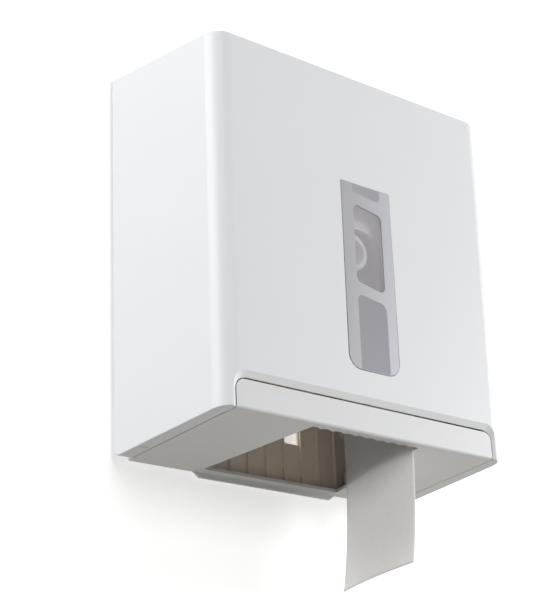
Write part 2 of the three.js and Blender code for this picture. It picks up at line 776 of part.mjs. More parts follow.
// The keeper under the cover's top: a shelf on two gussets, and the post that the lock's hook goes behind.
function keeper() {
  const { width, drop, thick, lead, gusset } = KEEPER_SHELF;
  const post = KEEPER_POST;
  const postFront = lockY + CAM_HUB_RADIUS + post.hubGap;
  const postBack = lockY + HOOK_INNER - post.hookGap;
  const front = postFront - lead;
  const top = camUnder - drop;
  const shelf = box([-width / 2, front, top - thick], [width / 2, -PLATE_THICK / 2, top]);
  const brace = new THREE.Shape([
    new THREE.Vector2(-PLATE_THICK / 2, top - thick / 2),
    new THREE.Vector2(-PLATE_THICK / 2, top - thick - gusset),
    new THREE.Vector2(-PLATE_THICK - thick, top - thick - gusset),
    new THREE.Vector2(front + thick, top - thick / 2),
  ]);
  const gussetAt = (side) => {
    const middle = (side * (width - thick)) / 2;
    return prism(brace, "x", middle - thick / 2, middle + thick / 2);
  };
  const stop = box(
    [-post.out - post.width, postFront, top - thick / 2],
    [-post.out, postBack, camTop + post.over],
  );
  return join(shelf, bothSides(gussetAt), stop);
}

// The pair of holes, each one bay of the ribs wide, low in the plate.
function bayHole(side) {
  const { bay, width, bottom, height, innerCorner, outerCorner } = BAY_HOLE;
  const centre = side * bay * RIB_PITCH;
  const inner = centre - (side * width) / 2;
  const outer = centre + (side * width) / 2;
  const outline = rounded([
    [inner, bottom, innerCorner],
    [outer, bottom, outerCorner],
    [outer, bottom + height, outerCorner],
    [inner, bottom + height, outerCorner],
  ]);
  return prism(outline, "y", -OVERRUN, OVERRUN);
}

function backPlate() {
  const half = plateWidth / 2;
  const outline = roundedRectangle(-half, plateBottom, half, plateTop, 0, PLATE_CORNER_RADIUS);
  const sheet = prism(outline, "y", -PLATE_THICK, 0);
  const seat = rod(PAD_RADIUS, "y", padY, -PLATE_THICK / 2, [0, 0, SPINDLE_HEIGHT], ROUND);
  const bossFront = -PLATE_THICK - TRAY_BOSS_HEIGHT;
  const trayBoss = (side) =>
    rod(TRAY_BOSS_RADIUS, "y", bossFront, -PLATE_THICK / 2, [side * tabOut, 0, TAB.holeHeight]);
  const pilotEnd = traySeatY() + TRAY_SCREW_LENGTH;
  const pilot = (side) =>
    rod(SCREW.radius + SCREW_FIT, "y", -OVERRUN, pilotEnd, [side * tabOut, 0, TAB.holeHeight]);
  const bores = screwPlaces().flatMap((place) => [
    rod(SCREW.radius + SCREW_FIT, "y", -OVERRUN, OVERRUN, place),
    rod(SCREW.headRadius + HEAD_FIT, "y", -SEAT_GAP * 2 - SCREW.head, OVERRUN, place),
  ]);
  const slots = wallSlotPlaces();
  return cut(
    join(sheet, plateRim(), plateRibs(), seat, bothSides(trayBoss), keeper(), ...slots.map(slotPad)),
    bothSides(pilot),
    bothSides(bayHole),
    ...bores,
    ...slots.map(slotHole),
  );
}

// A hollow post with a broad base on the plate and a shoulder behind the roll.
function spindle() {
  const baseY = padY - SEAT_GAP;
  const profile = [
    [0, baseY],
    [BASE_RADIUS, baseY],
    [BASE_RADIUS, baseY - BASE_THICK],
    [NECK_RADIUS, baseY - BASE_THICK],
    [NECK_RADIUS, shoulderY + SHOULDER_THICK],
    [SHOULDER_RADIUS, shoulderY + SHOULDER_THICK],
    [SHOULDER_RADIUS, shoulderY],
    [SPINDLE_RADIUS, shoulderY],
    [SPINDLE_RADIUS, spindleEndY + SPINDLE_TIP_ROUND],
    [SPINDLE_RADIUS - SPINDLE_TIP_ROUND, spindleEndY],
    [SPINDLE_BORE, spindleEndY],
    [SPINDLE_BORE, shoulderY],
    [0, shoulderY],
  ];
  const body = turned(profile, "y", [0, 0, SPINDLE_HEIGHT], FINE);
  const places = screwPlaces();
  const bossEnd = baseY - SCREW_BOSS_DEPTH;
  const deepest = -SEAT_GAP * 2 - SCREW.head - SCREW.length;
  const bosses = places.map((place) => rod(SCREW_BOSS_RADIUS, "y", bossEnd, baseY, place));
  const pilots = places.map((place) => rod(SCREW.radius + SCREW_FIT, "y", deepest, OVERRUN, place));
  return cut(join(body, ...bosses), ...pilots);
}

function ring(inner, outer, from, to, centre) {
  const profile = [
    [inner, from],
    [outer, from],
    [outer, to],
    [inner, to],
    [inner, from],
  ];
  return turned(profile, "y", centre, FINE);
}

function rollCore() {
  return ring(CORE_RADIUS, CORE_RADIUS + CORE_WALL, paperFrontY, -PAPER_BACK, [rollX, 0, rollHeight]);
}

function paperRoll() {
  const inner = CORE_RADIUS + CORE_WALL + SEAT_GAP;
  return ring(inner, ROLL_RADIUS, paperFrontY, -PAPER_BACK, [rollX, 0, rollHeight]);
}

// The free end of the paper: flat where it leaves the roll, turned and bowed where it passes the outlet, and
// curled a little towards its end.
function paperStrip() {
  const start = rollX + ROLL_RADIUS + SEAT_GAP;
  const rings = [];
  for (let step = 0; step <= STRIP_STEPS; step++) {
    const fall = step / STRIP_STEPS;
    const left = [];
    const right = [];
    for (let column = 0; column <= STRIP_COLUMNS; column++) {
      const across = column / STRIP_COLUMNS;
      const end = THREE.MathUtils.lerp(STRIP_REAR_END, STRIP_FRONT_END, across);
      const z = THREE.MathUtils.lerp(rollHeight, end, fall);
      const y = THREE.MathUtils.lerp(-PAPER_BACK, paperFrontY, across);
      const turn = Math.min((rollHeight - z) / (rollHeight - STRIP_LEVEL), 1);
      const hang = Math.max((STRIP_LEVEL - z) / (STRIP_LEVEL - STRIP_REAR_END), 0);
      const bow = STRIP_BOW * Math.sin(Math.PI * across) * (1 - hang);
      const curl = STRIP_CURL * hang * hang;
      const x = start + turn * (outletHalfAt(y) - STRIP_GAP - start - bow) - curl;
      left.push(new THREE.Vector3(x, y, z));
      right.unshift(new THREE.Vector3(x + STRIP_THICK, y, z));
    }
    rings.push([...left, ...right]);
  }
  return loft(rings);
}

function lockBarrel() {
  const low = barrelEnd;
  const seat = lockFloor + SEAT_GAP;
  const top = seat + BARREL_FLANGE;
  const bore = ROTOR_RADIUS + RUN_GAP;
  const headBore = ROTOR_HEAD_RADIUS + RUN_GAP;
  const profile = [
    [bore, low],
    [barrelRadius, low],
    [barrelRadius, seat],
    [BARREL_FLANGE_RADIUS, seat],
    [BARREL_FLANGE_RADIUS, top],
    [headBore, top],
    [headBore, top - ROTOR_HEAD - SEAT_GAP],
    [bore, top - ROTOR_HEAD - SEAT_GAP],
    [bore, low],
  ];
  return turned(profile, "z", [0, lockY, 0], ROUND);
}

function lockNut() {
  const hexagon = new THREE.Shape(
    Array.from({ length: 6 }, (_, i) => {
      const turn = (Math.PI / 3) * (i + 0.5);
      const reach = NUT_FLATS / 2 / Math.cos(Math.PI / 6);
      return new THREE.Vector2(reach * Math.cos(turn), lockY + reach * Math.sin(turn));
    }),
  );
  const top = lockPadUnder - SEAT_GAP;
  const hole = rod(barrelRadius + BARREL_FIT, "z", top - OVERRUN, top + OVERRUN, [0, lockY, 0], ROUND);
  return cut(prism(hexagon, "z", top - NUT_THICK, top), hole);
}

// The part that the key turns: a head in the barrel's mouth, a shaft and a square end for the cam.
function lockRotor() {
  const top = lockFloor + SEAT_GAP + BARREL_FLANGE;
  const headUnder = top - ROTOR_HEAD;
  const centre = [0, lockY, 0];
  const head = rod(ROTOR_HEAD_RADIUS, "z", headUnder, top, centre);
  const shaft = rod(ROTOR_RADIUS, "z", camTop, headUnder, centre);
  const half = ROTOR_SQUARE / 2;
  const square = box([-half, lockY - half, camUnder + SEAT_GAP], [half, lockY + half, headUnder]);
  const key = new THREE.Shape(
    Array.from({ length: 3 }, (_, i) => {
      const turn = Math.PI / 2 + (2 * Math.PI * i) / 3;
      const reach = KEY_SIDE / Math.sqrt(3);
      return new THREE.Vector2(reach * Math.cos(turn), lockY + reach * Math.sin(turn));
    }),
  );
  return cut(
    join(head, shaft, square),
    prism(key, "z", top - KEY_DEPTH, top + OVERRUN),
    rod(CAM_SCREW.radius + SCREW_FIT, "z", camUnder - OVERRUN, camUnder + CAM_SCREW.length, centre),
  );
}

// The hook cam, shown unlocked: its arm lies along the wall, and a quarter turn hooks it behind the post.
function lockCam() {
  const middle = (HOOK_INNER + HOOK_OUTER) / 2;
  const hub = rod(CAM_HUB_RADIUS, "z", camUnder, camTop, [0, lockY, 0]);
  const edge = KEEPER_POST.out - KEEPER_POST.armGap;
  const arm = box([0, lockY + edge - CAM_ARM, camUnder], [middle, lockY + edge, camTop]);
  const tip = THREE.MathUtils.degToRad(HOOK_ANGLE);
  const root = Math.asin((CAM_ARM - edge) / middle);
  const hook = new THREE.Shape();
  hook.absarc(0, lockY, HOOK_OUTER, -root, tip, false);
  hook.absarc(0, lockY, HOOK_INNER, tip, -root, true);
  hook.closePath();
  const side = ROTOR_SQUARE / 2 + SCREW_FIT;
  const hole = box([-side, lockY - side, camUnder - OVERRUN], [side, lockY + side, camTop + OVERRUN]);
  return cut(join(hub, arm, prism(hook, "z", camUnder, camTop, ARC_STEPS * 2)), hole);
}

function lockCamScrew() {
  const { radius, headRadius, head, length } = CAM_SCREW;
  const seat = camUnder - SEAT_GAP;
  const profile = [
    [0, seat - head],
    [headRadius, seat - head],
    [headRadius, seat],
    [radius, seat],
    [radius, camUnder + length - SEAT_GAP * 2],
    [0, camUnder + length - SEAT_GAP],
  ];
  return turned(profile, "z", [0, lockY, 0], SMALL);
}

const dispenser = new THREE.Group();
dispenser.add(
  piece("back_plate", backPlate(), finish(WHITE, 0.5)),
  piece("bottom_tray", bottomTray(), finish(WHITE)),
  piece("tray_screw_left", trayScrew(-1), finish(STEEL, 0.3)),
  piece("tray_screw_right", trayScrew(1), finish(STEEL, 0.3)),
  piece("spindle", spindle(), finish(WHITE)),
  piece("front_cover", frontCover(), finish(SHELL_WHITE, 0.25)),
  piece("window_pane", windowPane(), finish(SMOKED, 0.1)),
  piece("window_label", windowLabel(), finish(SILVER, 0.3)),
  piece("hinge_pin_left", hingePin(-1), finish(STEEL, 0.3)),
  piece("hinge_pin_right", hingePin(1), finish(STEEL, 0.3)),
  piece("roll_core", rollCore(), finish(CARDBOARD, 0.9)),
  piece("paper_roll", paperRoll(), finish(PAPER, 0.95)),
  piece("paper_strip", paperStrip(), finish(PAPER, 0.95)),
  piece("lock_barrel", lockBarrel(), finish(WHITE)),
  piece("lock_nut", lockNut(), finish(WHITE, 0.5)),
  piece("lock_rotor", lockRotor(), finish(DARK, 0.4)),
  piece("lock_cam", lockCam(), finish(STEEL, 0.3)),
  piece("lock_cam_screw", lockCamScrew(), finish(STEEL, 0.3)),
);
screwPlaces().forEach((place, i) => {
  dispenser.add(piece(`spindle_screw_${i + 1}`, spindleScrew(place), finish(STEEL, 0.3)));
});
dispenser.position.z = -COVER_HEIGHT / 2;

export default dispenser;
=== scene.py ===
import math

import bmesh
import bpy
from mathutils import Matrix, Vector, noise


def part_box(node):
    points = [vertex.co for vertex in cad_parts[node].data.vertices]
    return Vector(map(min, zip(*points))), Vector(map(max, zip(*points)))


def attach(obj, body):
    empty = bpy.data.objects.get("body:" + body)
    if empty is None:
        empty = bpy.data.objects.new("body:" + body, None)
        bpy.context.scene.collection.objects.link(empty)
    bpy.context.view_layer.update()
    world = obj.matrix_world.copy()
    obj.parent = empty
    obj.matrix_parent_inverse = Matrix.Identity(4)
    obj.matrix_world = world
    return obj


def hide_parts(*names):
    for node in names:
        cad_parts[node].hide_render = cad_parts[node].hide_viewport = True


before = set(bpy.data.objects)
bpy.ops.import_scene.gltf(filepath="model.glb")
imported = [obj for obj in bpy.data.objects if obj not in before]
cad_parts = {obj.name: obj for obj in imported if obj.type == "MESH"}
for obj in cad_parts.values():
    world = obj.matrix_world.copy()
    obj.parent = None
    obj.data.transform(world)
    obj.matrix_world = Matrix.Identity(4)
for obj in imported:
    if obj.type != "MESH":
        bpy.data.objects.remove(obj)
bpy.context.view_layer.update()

# Looks of a wall dispenser for a paper roll.
# Metres, in the frame's axes: +Z is up, +X is right and +Y points into the wall.
# Heights written below are measured from the cover's lower rear edge. drawn_z turns them into the frame's.

MM = 0.001
COVER_HEIGHT = 305 * MM

# Camera
CAMERA_PLACE = (-0.8557, -0.9921, -0.4787)
CAMERA_YAW = math.radians(41.40)
CAMERA_PITCH = math.radians(20.07)
CAMERA_ROLL = math.radians(-2.13)
FOCAL_PIXELS = 1737.8
IMAGE_HEIGHT = 598
SENSOR = 36.0
CLIP_NEAR = 0.05
CLIP_FAR = 50

# Lamps: azimuth and elevation in degrees, distance, watts, width and height. Azimuth 90 is on the right.
LAMPS = {
    "key": (-5, 14, 2.4, 20.8, 0.8, 0.8),
    "right": (64, 2, 1.5, 11.6, 0.5, 0.5),
    "side": (-98, 26, 2.4, 43.0, 1.6, 1.2),
}
LAMP_AIM = (0, -60 * MM, 0)

# Studio light from all round, which is dimmer behind the camera
SKY_COLOR = (0.97, 0.985, 1.0, 1)
SKY_STRENGTH = 0.48
DIM_STRENGTH = 0.04
DIM_SIDE = (-0.643, -0.766, 0)
DIM_START = 0.3
DIM_END = 1.0

# Wall and floor: each glows to the camera so that it is white where no shadow falls
WALL_Y = 1.2 * MM
STAGE_REACH = 3.0
FLOOR_Z = -1.1
WALL_COLOR = (0.80, 0.80, 0.80)
WALL_GLOW = 0.528
FLOOR_COLOR = (0.37, 0.355, 0.32)
FLOOR_GLOW = 0.66

# Mouldings: colour and roughness
SHELL_FINISH = ((0.815, 0.827, 0.848), 0.45)
TRAY_FINISH = ((0.775, 0.78, 0.785), 0.44)
# The back plate's warm, brownish tone is painted shade: it gives the brownish tint of the shaded inside of
# the housing
PLATE_TONE_WITH_PAINTED_SHADE = ((0.93, 0.815, 0.70), 0.42)
ARBOR_FINISH = ((0.95, 0.94, 0.955), 0.40)
FLOW_TONE = 0.007
GLOSS_SPREAD = 0.03

# Film: tones at its left and right edge. The change from left to right is painted light, set to how the
# light falls across the film: the silver is painted lighter towards the right.
SILVER_WITH_PAINTED_LIGHT = ((0.46, 0.46, 0.49), (0.58, 0.575, 0.625))
TAB_INK = ((0.43, 0.425, 0.455), (0.38, 0.37, 0.415))
PANEL_INK = ((0.345, 0.335, 0.375), (0.325, 0.315, 0.36))
SILVER_METAL = 0.25
INK_METAL = 0.15
FILM_ROUGHNESS = (0.38, 0.47)
PRINT_GRAIN = 6 * MM

# Other materials: darker and lighter tone, and the range of the roughness
PANE_TONES = ((0.88, 0.86, 0.91), (0.94, 0.92, 0.97))
PANE_SETTINGS = {"Alpha": 0.25, "Roughness": 0.10, "IOR": 1.49}
SHEET_TONES = ((0.82, 0.805, 0.795), (0.88, 0.865, 0.855))
SHEET_ROUGHNESS = (0.86, 0.97)
SHEET_SETTINGS = {
    "Sheen_Weight": 0.05,
    "Subsurface_Weight": 0.65,
    "Subsurface_Scale": 4 * MM,
    "Subsurface_Radius": (1.0, 0.92, 0.85),
}
ROLL_TONES = ((0.93, 0.86, 0.84), (0.98, 0.91, 0.89))
ROLL_ROUGHNESS = (0.88, 0.98)
BOARD_TONES = ((0.24, 0.21, 0.205), (0.34, 0.30, 0.29))
BOARD_ROUGHNESS = (0.82, 0.95)
STEEL_TONES = ((0.50, 0.51, 0.52), (0.62, 0.63, 0.64))
STEEL_ROUGHNESS = (0.24, 0.42)
ZINC_TONES = ((0.045, 0.046, 0.05), (0.075, 0.077, 0.083))
ZINC_ROUGHNESS = (0.32, 0.48)
ZINC_METAL = 0.6

# Textures: cells per metre, levels of detail, and for some the strength of the levels and the stretch
FLOW_NOISE = (14, 3)
GLOSS_NOISE = (900, 3)
SKIN_NOISE = (900, 2)
PRINT_NOISE = (2600, 2, 0.6)
PRINT_SKIN_NOISE = (2600, 2)
FINE_NOISE = (1500, 2)
MILK_NOISE = (30, 3)
SHEET_NOISE = (700, 5, 0.7, (1, 1, 0.35))
PAPER_NOISE = (300, 2)
WOBBLE_NOISE = (40, 2)
BOARD_NOISE = (500, 5, 0.7, (1, 0.25, 1))
BOARD_SKIN_NOISE = (700, 4)
STEEL_NOISE = (220, 3)
ZINC_NOISE = (200, 3)
ZINC_GLOSS_NOISE = (700, 3)
ZINC_SKIN_NOISE = (1300, 2)

# The range in which a noise mostly lies, and a wider one for the mouldings' tones
NOISE_LOW = 0.3
NOISE_HIGH = 0.7
FLOW_RANGE = (0.2, 0.8)

# Rings on the wound paper: how far they stray, and radians of their sine per metre of radius
RING_WOBBLE = 0.6 * MM
RING_PACE = 5200

# Finest relief: depth and strength
SKIN_RELIEF = (0.02 * MM, 0.2)
METAL_RELIEF = (0.03 * MM, 0.3)
BOARD_RELIEF = (0.1 * MM, 0.5)
SHEET_RELIEF = (0.12 * MM, 0.4)
WINDING_RELIEF = (0.12 * MM, 0.5)

# Print on the film. The tab's and the panel's outlines are in millimetres.
PANE_LEFT = -21.4 * MM
PANE_RIGHT = 29.2 * MM
PANE_LOW = 58.9 * MM
PANE_TOP = 207.2 * MM
PANE_LOW_RADIUS = 11 * MM
PANE_TOP_RADIUS = 1 * MM
SIGHT_LEFT = -9.8 * MM
SIGHT_RIGHT = 19.0 * MM
SIGHT_TOP = 191.2 * MM
SIGHT_HEIGHT = 63.2 * MM
SIGHT_SLANT_SHARE = 0.19
SIGHT_RADIUS = 5 * MM
PRINT_MARGIN = 0.35 * MM
TAB_OUTLINE = {"left": -10, "right": 18.5, "low_left": 200.3, "low_right": 196.7, "corner": 4.2}
PANEL_OUTLINE = {
    "left": -9.7,
    "right": 19.7,
    "top_left": 118.2,
    "top_right": 114.0,
    "near_corner": 4.5,
    "far_corner": 7.5,
}
CORNER_STEPS = 8

# Softened edges of the mouldings
SHARP_ANGLE = 30
FLAT_ANGLE = 0.5
MERGE_DISTANCE = 0.002 * MM
SOFT_SEGMENTS = 2
FACE_WEIGHT = 100
SHELL_EDGE = 0.6 * MM
PART_EDGE = 0.3 * MM
PLATE_EDGE = 0.2 * MM

# On the large mouldings, lines shorter than this stay crisp, so that the softening has room
LEAST_LINE = 1.2 * MM

# The scalloped tear edge keeps its crisp corners: low and high corner of its zone, in the frame's axes
TEAR_ZONE = ((-60 * MM, -118 * MM, -150 * MM), (60 * MM, -100 * MM, -135 * MM))

# Hanging paper, which follows the solid strip. The outlet's back and front count from the wall.
ROLL_GAP = 0.3 * MM
OUTLET_WIDTH = 135.2 * MM
OUTLET_FRONT_WIDTH = 106 * MM
OUTLET_BACK = 9.5 * MM
OUTLET_FRONT = 114.4 * MM
STRIP_LEVEL = 8 * MM
STRIP_GAP = 0.8 * MM
STRIP_BOW = 4 * MM
STRIP_FLATTENING_SHARE = 0.3
STRIP_CURL = 8 * MM
STRIP_REAR_END = -81.6 * MM
STRIP_FRONT_END = -75.2 * MM
STRIP_THICK = 0.2 * MM
STRIP_ANGLE = 60
STRIP_ROWS = 90
STRIP_COLUMNS = 36

# Its slight waves: height, cells per metre across and down, and how fast they set in below the outlet
WAVE_HEIGHT = 0.35 * MM
WAVE_CELLS_ACROSS = 25
WAVE_CELLS_DOWN = 18
WAVE_PLACE = 2.4
WAVE_ONSET = 4

# Wound paper and its core
WINDINGS = 46
WINDING_STEP = 0.22 * MM
WINDING_PITCH = 0.61
WINDING_PLACE = (0.3, 0.7)
ROLL_SEGMENTS = 128
ROLL_ANGLE = 40
ROLL_EDGE = 0.8 * MM
CORE_RIM = 0.4 * MM
RIM_STEPS = 4


def drawn_z(height):
    return height - COVER_HEIGHT / 2


def drawn_height(z):
    return z + COVER_HEIGHT / 2


def lerp(low, high, share):
    return low + (high - low) * share


def make_camera():
    data = bpy.data.cameras.new("camera")
    data.sensor_fit = "AUTO"
    data.sensor_width = SENSOR
    data.lens = FOCAL_PIXELS * SENSOR / IMAGE_HEIGHT
    data.clip_start = CLIP_NEAR
    data.clip_end = CLIP_FAR
    forward = Vector(
        (
            math.sin(CAMERA_YAW) * math.cos(CAMERA_PITCH),
            math.cos(CAMERA_YAW) * math.cos(CAMERA_PITCH),
            math.sin(CAMERA_PITCH),
        )
    )
    level = Vector((math.cos(CAMERA_YAW), -math.sin(CAMERA_YAW), 0))
    above = level.cross(forward)
    right = math.cos(CAMERA_ROLL) * level + math.sin(CAMERA_ROLL) * above
    up = -math.sin(CAMERA_ROLL) * level + math.cos(CAMERA_ROLL) * above
    turn = Matrix((right, up, -forward)).transposed().to_4x4()
    camera = bpy.data.objects.new("camera", data)
    camera.matrix_world = Matrix.Translation(CAMERA_PLACE) @ turn
    bpy.context.collection.objects.link(camera)
    bpy.context.scene.camera = camera


class Nodes:
    """A material's node tree, filled by short calls."""

    def __init__(self, name):
        self.material = bpy.data.materials.new(name)
        self.material.use_nodes = True
        self.tree = self.material.node_tree
        self.shader = self.tree.nodes["Principled BSDF"]
        self.output = self.tree.nodes["Material Output"]

    def add(self, kind, **settings):
        node = self.tree.nodes.new(kind)
        for key, value in settings.items():
            setattr(node, key, value)
        return node

    def link(self, source, target):
        self.tree.links.new(source, target)

    def set(self, **sockets):
        for key, value in sockets.items():
            self.shader.inputs[key.replace("_", " ")].default_value = value
        return self

    def places(self):
        return self.add("ShaderNodeTexCoord").outputs["Object"]

    def noise(self, cells, detail, rough=0.5, stretch=(1, 1, 1)):
        mapping = self.add("ShaderNodeMapping")
        mapping.inputs["Scale"].default_value = stretch
        self.link(self.places(), mapping.inputs["Vector"])
        texture = self.add("ShaderNodeTexNoise")
        texture.inputs["Scale"].default_value = cells
        texture.inputs["Detail"].default_value = detail
        texture.inputs["Roughness"].default_value = rough
        self.link(mapping.outputs["Vector"], texture.inputs["Vector"])
        return texture.outputs["Fac"]

    def ramp(self, factor, tones, start=NOISE_LOW, end=NOISE_HIGH):
        ramp = self.add("ShaderNodeValToRGB")
        for element, position, tone in zip(ramp.color_ramp.elements, (start, end), tones):
            element.position = position
            element.color = (*tone, 1)
        self.link(factor, ramp.inputs["Fac"])
        return ramp.outputs["Color"]

    def span(self, factor, low, high, start=NOISE_LOW, end=NOISE_HIGH):
        spread = self.add("ShaderNodeMapRange")
        spread.inputs["From Min"].default_value = start
        spread.inputs["From Max"].default_value = end
        spread.inputs["To Min"].default_value = low
        spread.inputs["To Max"].default_value = high
        self.link(factor, spread.inputs["Value"])
        return spread.outputs["Result"]

    def math(self, operation, first, second=0.0):
        node = self.add("ShaderNodeMath", operation=operation)
        for socket, value in zip(node.inputs, (first, second)):
            if isinstance(value, (int, float)):
                socket.default_value = value
            else:
                self.link(value, socket)
        return node.outputs["Value"]

    def color(self, source):
        self.link(source, self.shader.inputs["Base Color"])

    def roughness(self, source):
        self.link(source, self.shader.inputs["Roughness"])

    def bump(self, height, distance, strength):
        bump = self.add("ShaderNodeBump")
        bump.inputs["Strength"].default_value = strength
        bump.inputs["Distance"].default_value = distance
        self.link(height, bump.inputs["Height"])
        self.link(bump.outputs["Normal"], self.shader.inputs["Normal"])


def moulded(name, finish):
    """Injection-moulded plastic: faint flow tones, slightly uneven gloss and a fine skin."""
    color, rough = finish
    tones = [tuple(channel * tone for channel in color) for tone in (1 - FLOW_TONE, 1 + FLOW_TONE)]
    nodes = Nodes(name)
    nodes.color(nodes.ramp(nodes.noise(*FLOW_NOISE), tones, *FLOW_RANGE))
    nodes.roughness(nodes.span(nodes.noise(*GLOSS_NOISE), rough - GLOSS_SPREAD, rough + GLOSS_SPREAD))
    nodes.bump(nodes.noise(*SKIN_NOISE), *SKIN_RELIEF)
    return nodes.material


def printed_film_with_painted_light(name, tones, metal):
    """Printed film: a tone that changes from left to right, which is painted light for how the light falls
    across it, and a fine metallic grain.
    """
    nodes = Nodes(name).set(Metallic=metal)
    split = nodes.add("ShaderNodeSeparateXYZ")
    nodes.link(nodes.places(), split.inputs["Vector"])
    grain = nodes.math("MULTIPLY", nodes.noise(*PRINT_NOISE), PRINT_GRAIN)
    across = nodes.math("ADD", split.outputs["X"], grain)
    # Painted light: the tone ramps from the pane's left edge to its right edge
    nodes.color(nodes.ramp(nodes.span(across, 0.0, 1.0, PANE_LEFT, PANE_RIGHT), tones, 0.0, 1.0))
    nodes.roughness(nodes.span(nodes.noise(*FINE_NOISE), *FILM_ROUGHNESS))
    nodes.bump(nodes.noise(*PRINT_SKIN_NOISE), *SKIN_RELIEF)
    return nodes.material


def clear_pane():
    """A clear plastic window that has gone slightly milky."""
    nodes = Nodes("pane_milky").set(**PANE_SETTINGS)
    nodes.color(nodes.ramp(nodes.noise(*MILK_NOISE), PANE_TONES))
    return nodes.material


def paper_sheet():
    """One ply of soft paper: short fibres, a faint emboss and soft light through it."""
    nodes = Nodes("paper_sheet").set(**SHEET_SETTINGS)
    fibre = nodes.noise(*SHEET_NOISE)
    nodes.color(nodes.ramp(fibre, SHEET_TONES))
    nodes.roughness(nodes.span(nodes.noise(*PAPER_NOISE), *SHEET_ROUGHNESS))
    nodes.bump(fibre, *SHEET_RELIEF)
    return nodes.material


def wound_paper(axis_x, axis_z):
    """Wound layers: rings about the roll's own axis on its end faces."""
    nodes = Nodes("paper_wound")
    split = nodes.add("ShaderNodeSeparateXYZ")
    nodes.link(nodes.places(), split.inputs["Vector"])
    across = nodes.math("SUBTRACT", split.outputs["X"], axis_x)
    up = nodes.math("SUBTRACT", split.outputs["Z"], axis_z)
    squared = nodes.math("ADD", nodes.math("MULTIPLY", across, across), nodes.math("MULTIPLY", up, up))
    radius = nodes.math("POWER", squared, 0.5)
    wobble = nodes.math("MULTIPLY", nodes.noise(*WOBBLE_NOISE), RING_WOBBLE)
    turns = nodes.math("MULTIPLY", nodes.math("ADD", radius, wobble), RING_PACE)
    layers = nodes.math("SINE", turns)
    nodes.color(nodes.ramp(layers, ROLL_TONES, 0.0, 1.0))
    nodes.roughness(nodes.span(nodes.noise(*PAPER_NOISE), *ROLL_ROUGHNESS))
    nodes.bump(layers, *WINDING_RELIEF)
    return nodes.material


def card_board():
    nodes = Nodes("core_board")
    nodes.color(nodes.ramp(nodes.noise(*BOARD_NOISE), BOARD_TONES))
    nodes.roughness(nodes.span(nodes.noise(*PAPER_NOISE), *BOARD_ROUGHNESS))
    nodes.bump(nodes.noise(*BOARD_SKIN_NOISE), *BOARD_RELIEF)
    return nodes.material


def plated_steel():
    nodes = Nodes("steel_plated").set(Metallic=1.0)
    nodes.color(nodes.ramp(nodes.noise(*STEEL_NOISE), STEEL_TONES))
    nodes.roughness(nodes.span(nodes.noise(*GLOSS_NOISE), *STEEL_ROUGHNESS))
    nodes.bump(nodes.noise(*FINE_NOISE), *METAL_RELIEF)
    return nodes.material


def dark_zinc():
    nodes = Nodes("zinc_dark").set(Metallic=ZINC_METAL)
    nodes.color(nodes.ramp(nodes.noise(*ZINC_NOISE), ZINC_TONES))
    nodes.roughness(nodes.span(nodes.noise(*ZINC_GLOSS_NOISE), *ZINC_ROUGHNESS))
    nodes.bump(nodes.noise(*ZINC_SKIN_NOISE), *METAL_RELIEF)
    return nodes.material


def add_object(name, mesh, body, slot, material, *nodes):
    made = bpy.data.objects.new(name, mesh)
    bpy.context.collection.objects.link(made)
    mesh.materials.clear()
    mesh.materials.append(material)
    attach(made, body)
    if nodes:
        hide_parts(*nodes)
    return made


def shade(mesh, angle):
    for face in mesh.polygons:
        face.use_smooth = True
    mesh.set_sharp_from_angle(angle=math.radians(angle))


def inside(point, zone):
    return all(low < value < high for value, low, high in zip(point, *zone))


def refined(node, body, slot, material, edge, least=0.0, crisp=None):
    """The CAD node's form again, its sharp edges softened save short ones and those in a crisp zone."""
    mesh = bpy.data.meshes.new(node + ".moulded")
    form = bmesh.new()
    form.from_mesh(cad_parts[node].data)
    bmesh.ops.remove_doubles(form, verts=form.verts, dist=MERGE_DISTANCE)
    flat = math.radians(FLAT_ANGLE)
    bmesh.ops.dissolve_limit(form, angle_limit=flat, verts=form.verts, edges=form.edges)
    softness = form.edges.layers.float.new("bevel_weight_edge")
    for line in form.edges:
        sharp = line.calc_face_angle(0) > math.radians(SHARP_ANGLE)
        kept = line.calc_length() < least or crisp and any(inside(end.co, crisp) for end in line.verts)
        line[softness] = 1.0 if sharp and not kept else 0.0
    form.to_mesh(mesh)
    form.free()
    made = add_object(node + ".moulded", mesh, body, slot, material, node)
    shade(mesh, SHARP_ANGLE)
    soft = made.modifiers.new("soft edges", "BEVEL")
    soft.width = edge
    soft.segments = SOFT_SEGMENTS
    soft.limit_method = "WEIGHT"
    soft.use_clamp_overlap = False
    soft.loop_slide = False
    even = made.modifiers.new("even shading", "WEIGHTED_NORMAL")
    even.mode = "FACE_AREA"
    even.weight = FACE_WEIGHT
    even.keep_sharp = True


def paint(node, material):
    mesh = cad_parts[node].data
    mesh.materials.clear()
    mesh.materials.append(material)


def rounded(corners):
    """A closed outline whose corners are rounded, each by its own radius. Corners are (x, z, radius)."""
    outline = []
    for i, (x, z, radius) in enumerate(corners):
        corner = Vector((x, z))
        before = (Vector(corners[i - 1][:2]) - corner).normalized()
        after = (Vector(corners[(i + 1) % len(corners)][:2]) - corner).normalized()
        half = before.angle(after) / 2
        centre = corner + (before + after).normalized() * (radius / math.sin(half))
        first = corner + before * (radius / math.tan(half)) - centre
        last = corner + after * (radius / math.tan(half)) - centre
        sweep = first.angle_signed(last) if radius else 0
        for step in range(CORNER_STEPS + 1 if radius else 1):
            turned = first.copy()
            turned.rotate(Matrix.Rotation(-sweep * step / CORNER_STEPS, 2))
            outline.append(tuple(centre + turned))
    return outline


